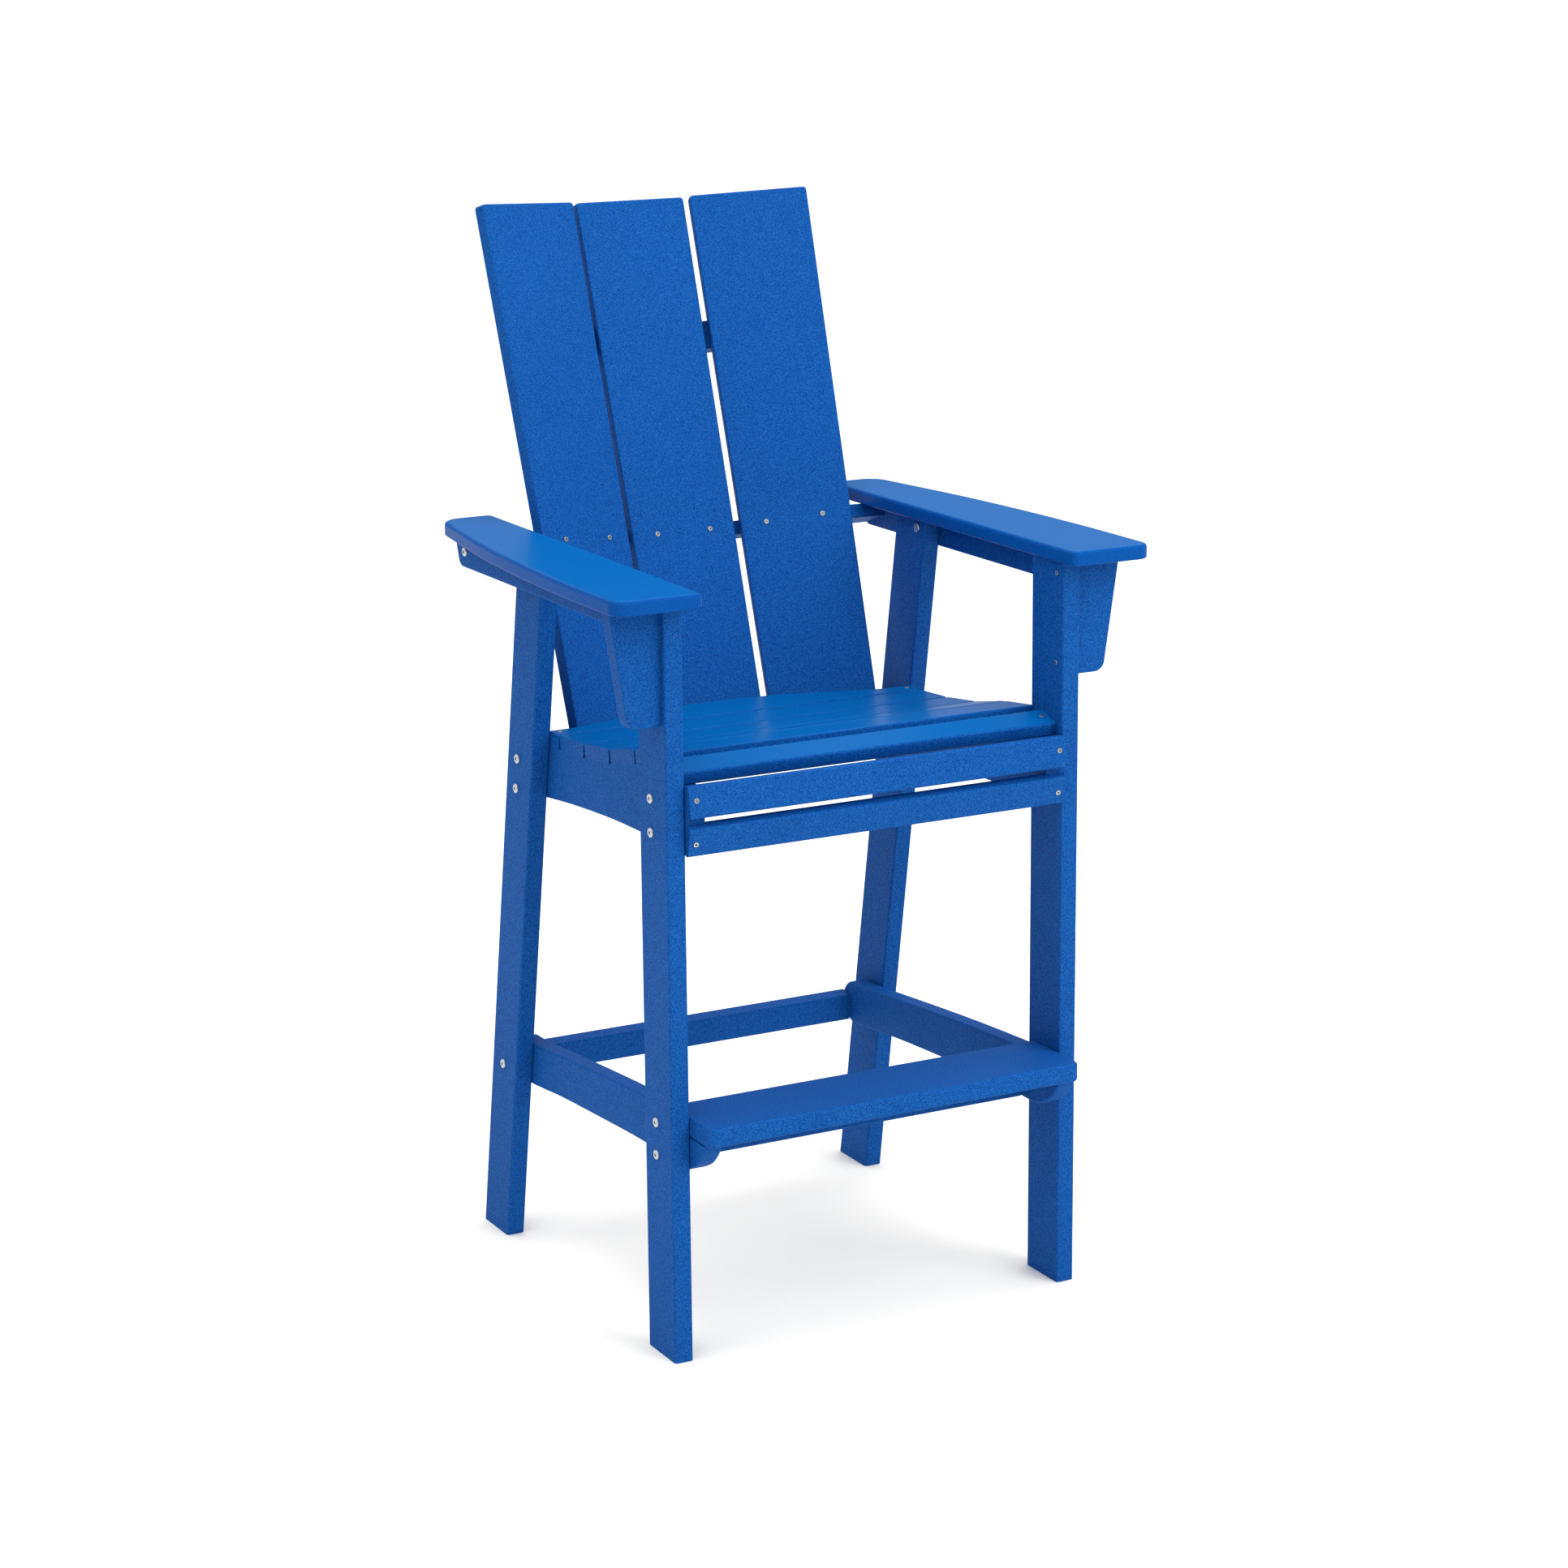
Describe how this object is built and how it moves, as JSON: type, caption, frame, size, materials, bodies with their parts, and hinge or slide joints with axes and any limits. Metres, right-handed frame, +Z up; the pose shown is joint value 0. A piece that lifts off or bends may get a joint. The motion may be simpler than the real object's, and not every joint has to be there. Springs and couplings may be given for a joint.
{
  "type": "adirondack bar chair",
  "caption": "Tall adirondack-style bar chair in blue plank lumber with a raked fan back, contoured slatted seat, wide flat arms and a footrest.",
  "frame": {"origin": "on the floor, at the middle of the overall footprint", "axes": "+Z up; -Y is the front, where the sitter faces; +X is to the right of someone looking at the chair from the front"},
  "size_m": [0.76, 0.756, 1.4054],
  "materials": {
    "blue_lumber": "matte recycled plastic lumber with a fine grain in the surface",
    "stainless_fasteners": "plain stainless steel"
  },
  "bodies": {
    "root": {"apron_screws": "stainless_fasteners", "arm_bracket_left": "blue_lumber", "arm_bracket_right": "blue_lumber", "arm_left": "blue_lumber", "arm_level_back_screws": "stainless_fasteners", "arm_rail_end_bolts": "stainless_fasteners", "arm_rail_left": "blue_lumber", "arm_rail_leg_bolts": "stainless_fasteners", "arm_rail_right": "blue_lumber", "arm_right": "blue_lumber", "back_board_left": "blue_lumber", "back_board_middle": "blue_lumber", "back_board_right": "blue_lumber", "back_brace_screws": "stainless_fasteners", "back_brace_upper": "blue_lumber", "back_support_arm_level": "blue_lumber", "back_support_lower": "blue_lumber", "bracket_screws": "stainless_fasteners", "footrest_board": "blue_lumber", "footrest_bolts": "stainless_fasteners", "footrest_cross_rail": "blue_lumber", "front_apron_lower": "blue_lumber", "front_apron_upper": "blue_lumber", "front_leg_left": "blue_lumber", "front_leg_right": "blue_lumber", "front_slat": "blue_lumber", "front_slat_screws": "stainless_fasteners", "lower_back_screws": "stainless_fasteners", "rear_leg_left": "blue_lumber", "rear_leg_right": "blue_lumber", "rear_slat_screws": "stainless_fasteners", "rear_stretcher": "blue_lumber", "seat_rail_bolts": "stainless_fasteners", "seat_rail_left": "blue_lumber", "seat_rail_long_bolts": "stainless_fasteners", "seat_rail_right": "blue_lumber", "seat_slat_1": "blue_lumber", "seat_slat_2": "blue_lumber", "seat_slat_3": "blue_lumber", "seat_slat_4": "blue_lumber", "seat_slat_5": "blue_lumber", "side_stretcher_left": "blue_lumber", "side_stretcher_right": "blue_lumber", "stretcher_bolts": "stainless_fasteners"}
  },
  "joints": []
}
